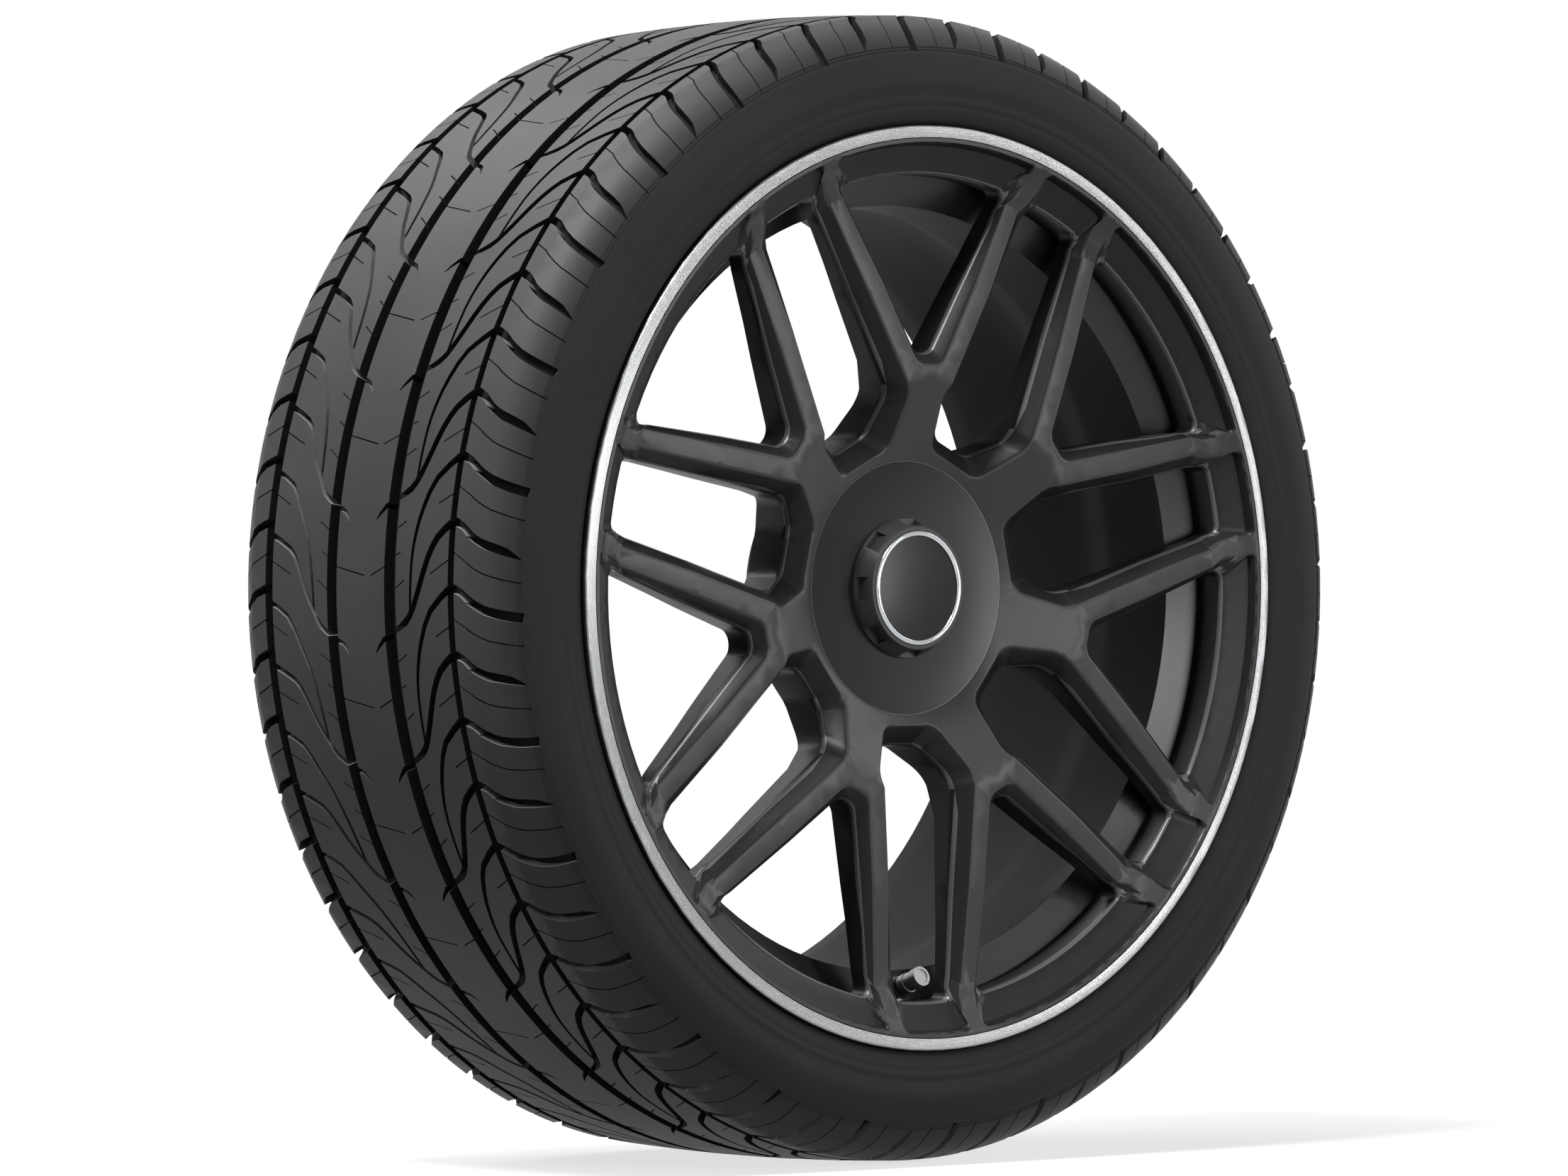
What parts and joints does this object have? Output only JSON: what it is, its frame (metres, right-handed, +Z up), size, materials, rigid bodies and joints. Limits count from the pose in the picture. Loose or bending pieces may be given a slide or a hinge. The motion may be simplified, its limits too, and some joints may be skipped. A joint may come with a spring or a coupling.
{
  "type": "forged wheel",
  "caption": "Forged car wheel with slim Y-shaped spokes, a turned lip, a mounted low-profile tyre, a castle-nut hub cap and a pressure-sensing valve.",
  "frame": {"origin": "on the axle line at the middle of the tyre's width", "axes": "Y along the axle with the outer face towards -Y, +Z up, valve at the bottom"},
  "size_m": [0.6786, 0.252, 0.6786],
  "materials": {
    "wheel_black": "matt black lacquer over forged aluminium, bare turned lip",
    "tyre_rubber": "moulded rubber",
    "cap_black": "satin dark moulding",
    "cap_ring_chrome": "polished",
    "badge_black": "plain gloss disc",
    "seal_rubber": "matt rubber",
    "valve_metal": "satin",
    "valve_steel": "plain",
    "valve_dark": "black anodised",
    "core_brass": "machined",
    "sensor_plastic": "moulded"
  },
  "bodies": {
    "wheel": {"forged_wheel": "wheel_black", "tyre": "tyre_rubber", "valve_stem": "valve_metal", "valve_grommet": "seal_rubber", "valve_washer": "valve_steel", "valve_nut": "valve_dark", "valve_core_body": "core_brass", "pressure_sensor": "sensor_plastic", "sensor_screw": "valve_steel"},
    "hub_cap_seal": {"hub_cap_seal": "seal_rubber"},
    "hub_cap": {"hub_cap": "cap_black", "hub_cap_ring": "cap_ring_chrome", "hub_cap_badge": "badge_black"},
    "valve_cap_seal": {"valve_cap_seal": "seal_rubber"},
    "valve_cap": {"valve_cap": "valve_metal"},
    "valve_core_pin": {"valve_core_pin": "core_brass", "valve_core_spring": "valve_steel"}
  },
  "joints": [
    {"name": "hub_cap_out", "type": "slide", "parent": "wheel", "child": "hub_cap_seal", "axis": [0, -1, 0], "range_m": [0, 0.012]},
    {"name": "hub_cap_turn", "type": "hinge", "parent": "hub_cap_seal", "child": "hub_cap", "pos_m": [0, -0.09, 0], "axis": [0, -1, 0], "range_deg": [0, 1440]},
    {"name": "valve_cap_out", "type": "slide", "parent": "wheel", "child": "valve_cap_seal", "axis": [0, -0.9354, 0.3535], "range_m": [0, 0.00794]},
    {"name": "valve_cap_turn", "type": "hinge", "parent": "valve_cap_seal", "child": "valve_cap", "pos_m": [0, -0.08694, -0.2366], "axis": [0, -0.9354, 0.3535], "range_deg": [0, 3600]},
    {"name": "valve_core_press", "type": "slide", "parent": "wheel", "child": "valve_core_pin", "axis": [0, 0.9354, -0.3535], "range_m": [0, 0.0012], "stiffness_N_per_m": 300, "springref_m": -0.003}
  ],
  "couplings": [
    {"joint": "hub_cap_out", "follows": "hub_cap_turn", "m_per_rad": 0.00047746},
    {"joint": "valve_cap_out", "follows": "valve_cap_turn", "m_per_rad": 0.00012637}
  ]
}
